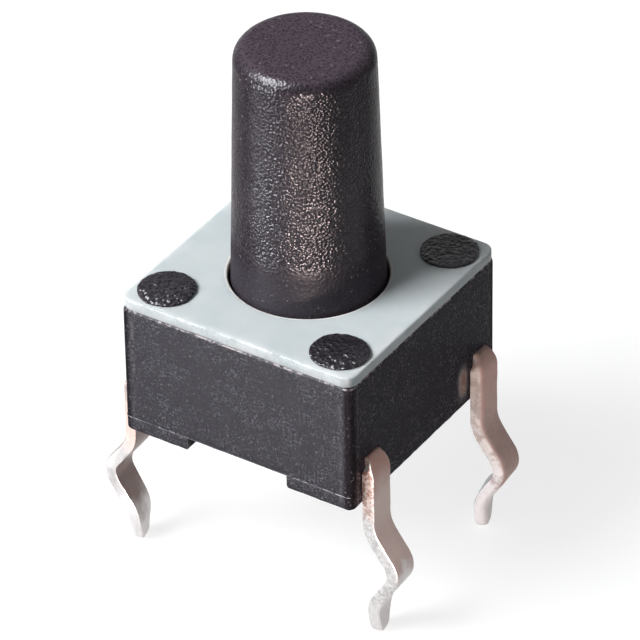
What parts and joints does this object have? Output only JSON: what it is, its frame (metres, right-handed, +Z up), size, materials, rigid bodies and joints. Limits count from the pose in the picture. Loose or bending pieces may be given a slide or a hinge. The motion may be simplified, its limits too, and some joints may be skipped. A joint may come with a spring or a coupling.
{
  "type": "tactile push button switch",
  "caption": "Square through-hole tactile switch with a tall tapered round button, a pale staked cover plate and kinked snap-in legs; pressing the button snaps a dome onto a contact.",
  "frame": {"origin": "centre of the four-leg footprint, on the face of the board that the rails stand on", "axes": "+Z up along the button; the legs leave the two faces that look along X; Y runs along the rails"},
  "size_m": [0.0078, 0.006, 0.0131],
  "materials": {
    "black_moulding": "glass-filled black moulding, spark-eroded, half matt",
    "pale_moulding": "natural, slightly translucent moulding, satin",
    "black_button": "fine spark-eroded grain with a soft sheen",
    "spring_steel": "thin spring strip, bright",
    "silvered_strip": "silver plating on a copper alloy, copper at the sheared edges"
  },
  "bodies": {
    "switch_body": {"housing": "black_moulding", "cover": "pale_moulding", "snap_dome": "spring_steel", "centre_contact_strip": "silvered_strip", "rim_contact_strip": "silvered_strip"},
    "push_button": {"button": "black_button"}
  },
  "joints": [
    {"name": "button_press", "type": "slide", "parent": "switch_body", "child": "push_button", "axis": [0, 0, -1], "range_m": [0, 0.00025], "stiffness_N_per_m": 6400, "deforming": ["snap_dome"]}
  ]
}
